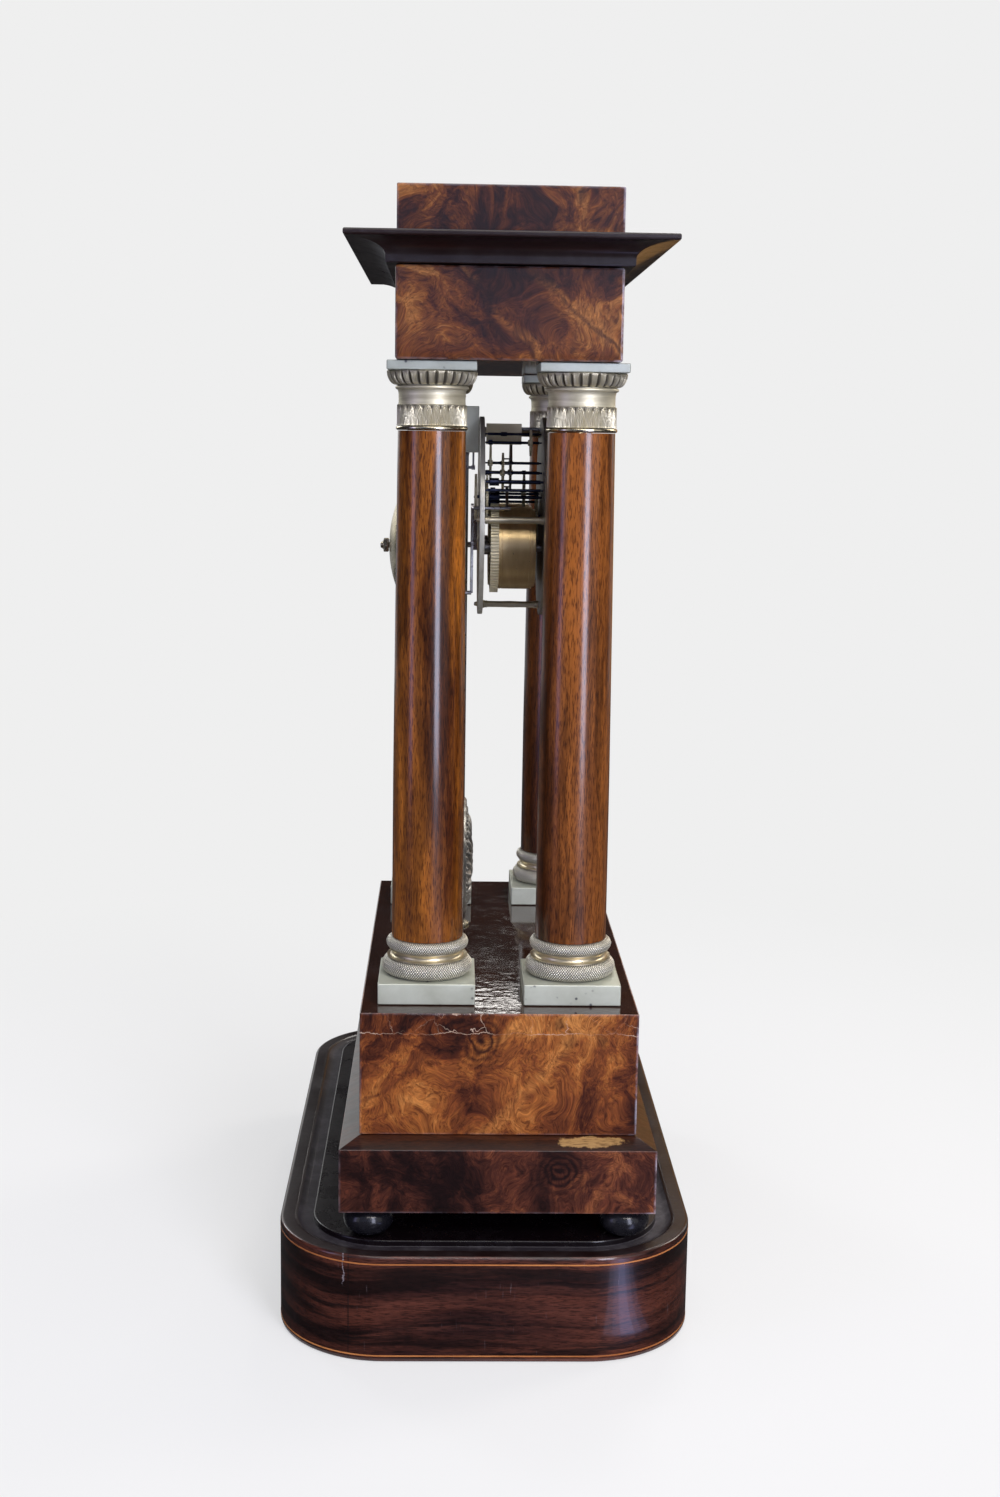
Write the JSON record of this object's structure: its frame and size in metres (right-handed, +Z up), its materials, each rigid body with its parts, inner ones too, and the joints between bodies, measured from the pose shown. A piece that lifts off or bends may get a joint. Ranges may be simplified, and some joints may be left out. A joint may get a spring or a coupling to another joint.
{
  "type": "portico clock",
  "caption": "Portico clock on a round-cornered display base: columns carry an entablature that hangs a striking movement, dial and pendulum.",
  "frame": {"origin": "under the middle of the display base, on the surface it stands on", "axes": "+X to the right seen from the dial, +Y to the rear (bell side), +Z up; the dial faces -Y"},
  "size_m": [0.342, 0.198, 0.5328],
  "materials": {
    "rosewood": "dark rosewood veneer, waxed",
    "burr_veneer": "burr walnut veneer, french polished",
    "column_wood": "turned mahogany, polished",
    "ebonised": "ebonised wood, polished",
    "gilt_brass": "engine-turned brass, aged lacquer",
    "plate_brass": "plain brass plates, dull",
    "wheel_brass": "brass wheels and barrels",
    "blued_steel": "blued steel",
    "bright_steel": "polished steel",
    "bell_metal": "bell metal",
    "silvered": "silvered cast relief",
    "enamel": "white enamel dial",
    "glass": "domed clear glass"
  },
  "bodies": {
    "case": {"display_base": "rosewood", "lower_plinth": "burr_veneer", "plinth_box": "burr_veneer", "entablature": "burr_veneer", "cornice": "ebonised", "attic_block": "burr_veneer", "foot_front_left": "ebonised", "foot_front_right": "ebonised", "foot_rear_left": "ebonised", "foot_rear_right": "ebonised", "column_base_front_left": "gilt_brass", "column_base_front_right": "gilt_brass", "column_base_rear_left": "gilt_brass", "column_base_rear_right": "gilt_brass", "column_shaft_front_left": "column_wood", "column_shaft_front_right": "column_wood", "column_shaft_rear_left": "column_wood", "column_shaft_rear_right": "column_wood", "column_capital_front_left": "gilt_brass", "column_capital_front_right": "gilt_brass", "column_capital_rear_left": "gilt_brass", "column_capital_rear_right": "gilt_brass", "dial_hanger": "plate_brass", "dial": "enamel", "front_plate": "plate_brass", "back_plate": "plate_brass", "bell": "bell_metal", "bell_stand": "blued_steel", "bell_nut": "bright_steel", "suspension_cock": "gilt_brass"},
    "going_barrel": {"going_barrel": "wheel_brass"},
    "going_winding_arbor": {"going_winding_arbor": "bright_steel"},
    "going_click": {"going_click": "blued_steel"},
    "going_intermediate": {"going_intermediate_wheel": "wheel_brass"},
    "centre": {"centre_wheel": "wheel_brass", "cannon_pinion": "bright_steel", "minute_hand": "blued_steel"},
    "third": {"third_wheel": "wheel_brass"},
    "escape": {"escape_wheel": "wheel_brass"},
    "minute_work": {"minute_wheel": "wheel_brass"},
    "hour_work": {"hour_wheel": "wheel_brass", "hour_hand": "blued_steel"},
    "strike_barrel": {"strike_barrel": "wheel_brass"},
    "strike_winding_arbor": {"strike_winding_arbor": "bright_steel"},
    "strike_click": {"strike_click": "blued_steel"},
    "strike_second": {"strike_second_wheel": "wheel_brass", "count_wheel": "wheel_brass"},
    "strike_pins": {"strike_pin_wheel": "wheel_brass"},
    "strike_locking": {"strike_locking_wheel": "wheel_brass"},
    "strike_warning": {"strike_warning_wheel": "wheel_brass"},
    "fly": {"fly": "wheel_brass"},
    "pallets": {"pallets": "blued_steel"},
    "pendulum": {"suspension_spring": "blued_steel", "pendulum_rod": "bright_steel", "pendulum_bob": "silvered", "rating_nut": "gilt_brass"},
    "hammer": {"hammer": "bright_steel"},
    "bezel": {"bezel": "gilt_brass", "bezel_glass": "glass"}
  },
  "joints": [
    {"name": "centre_turn", "type": "hinge", "parent": "case", "child": "centre", "pos_m": [-0.017, 0.0061, 0.3838], "axis": [0, 1, 0], "continuous": true},
    {"name": "going_barrel_turn", "type": "hinge", "parent": "case", "child": "going_barrel", "pos_m": [0.0062, 0.0061, 0.3692], "axis": [0, 1, 0], "continuous": true},
    {"name": "going_intermediate_turn", "type": "hinge", "parent": "case", "child": "going_intermediate", "pos_m": [-0.00657, 0.0061, 0.39087], "axis": [0, 1, 0], "continuous": true},
    {"name": "third_turn", "type": "hinge", "parent": "case", "child": "third", "pos_m": [-0.0185, 0.0061, 0.39525], "axis": [0, 1, 0], "continuous": true},
    {"name": "escape_turn", "type": "hinge", "parent": "case", "child": "escape", "pos_m": [-0.017, 0.0061, 0.406], "axis": [0, 1, 0], "continuous": true},
    {"name": "minute_work_turn", "type": "hinge", "parent": "case", "child": "minute_work", "pos_m": [-0.017, 0.0061, 0.3742], "axis": [0, 1, 0], "continuous": true},
    {"name": "hour_work_turn", "type": "hinge", "parent": "case", "child": "hour_work", "pos_m": [-0.017, 0.0061, 0.3838], "axis": [0, 1, 0], "continuous": true},
    {"name": "going_winding", "type": "hinge", "parent": "case", "child": "going_winding_arbor", "pos_m": [0.0062, 0.0061, 0.3692], "axis": [0, 1, 0], "continuous": true},
    {"name": "going_click_lift", "type": "hinge", "parent": "case", "child": "going_click", "pos_m": [0.0062, 0.0061, 0.3772], "axis": [0, 1, 0], "range_deg": [0, 15]},
    {"name": "locking_turn", "type": "hinge", "parent": "case", "child": "strike_locking", "pos_m": [-0.03252, 0.0061, 0.4109], "axis": [0, 1, 0], "continuous": true},
    {"name": "strike_barrel_turn", "type": "hinge", "parent": "case", "child": "strike_barrel", "pos_m": [-0.0402, 0.0061, 0.3692], "axis": [0, 1, 0], "continuous": true},
    {"name": "strike_second_turn", "type": "hinge", "parent": "case", "child": "strike_second", "pos_m": [-0.0423, 0.0061, 0.39426], "axis": [0, 1, 0], "continuous": true},
    {"name": "strike_pins_turn", "type": "hinge", "parent": "case", "child": "strike_pins", "pos_m": [-0.042, 0.0061, 0.40626], "axis": [0, 1, 0], "continuous": true},
    {"name": "warning_turn", "type": "hinge", "parent": "case", "child": "strike_warning", "pos_m": [-0.03222, 0.0061, 0.42098], "axis": [0, 1, 0], "continuous": true},
    {"name": "fly_turn", "type": "hinge", "parent": "case", "child": "fly", "pos_m": [-0.02638, 0.0061, 0.42519], "axis": [0, 1, 0], "continuous": true},
    {"name": "strike_winding", "type": "hinge", "parent": "case", "child": "strike_winding_arbor", "pos_m": [-0.0402, 0.0061, 0.3692], "axis": [0, 1, 0], "continuous": true},
    {"name": "strike_click_lift", "type": "hinge", "parent": "case", "child": "strike_click", "pos_m": [-0.0402, 0.0061, 0.3772], "axis": [0, 1, 0], "range_deg": [0, 15]},
    {"name": "pendulum_swing", "type": "hinge", "parent": "case", "child": "pendulum", "pos_m": [-0.017, 0.0061, 0.4278], "axis": [0, 1, 0], "range_deg": [-2.5, 2.5]},
    {"name": "pallets_rock", "type": "hinge", "parent": "case", "child": "pallets", "pos_m": [-0.017, 0.0061, 0.4278], "axis": [0, 1, 0], "range_deg": [-2.5, 2.5]},
    {"name": "hammer_lift", "type": "hinge", "parent": "case", "child": "hammer", "pos_m": [-0.055, 0.0061, 0.3892], "axis": [0, 1, 0], "range_deg": [0, 12]},
    {"name": "bezel_swing", "type": "hinge", "parent": "case", "child": "bezel", "pos_m": [0.0476, -0.0387, 0.3838], "axis": [0, 0, 1], "range_deg": [0, 90]}
  ],
  "couplings": [
    {"joint": "going_intermediate_turn", "follows": "centre_turn", "ratio": -0.16667},
    {"joint": "going_barrel_turn", "follows": "centre_turn", "ratio": 0.02381},
    {"joint": "third_turn", "follows": "centre_turn", "ratio": -10.667},
    {"joint": "escape_turn", "follows": "centre_turn", "ratio": 113.78},
    {"joint": "minute_work_turn", "follows": "centre_turn", "ratio": -0.33333},
    {"joint": "hour_work_turn", "follows": "centre_turn", "ratio": 0.083333},
    {"joint": "strike_pins_turn", "follows": "locking_turn", "ratio": -0.1},
    {"joint": "strike_second_turn", "follows": "locking_turn", "ratio": 0.011111},
    {"joint": "strike_barrel_turn", "follows": "locking_turn", "ratio": -0.0015873},
    {"joint": "warning_turn", "follows": "locking_turn", "ratio": -8},
    {"joint": "fly_turn", "follows": "locking_turn", "ratio": 56},
    {"joint": "pallets_rock", "follows": "pendulum_swing", "ratio": 1}
  ]
}
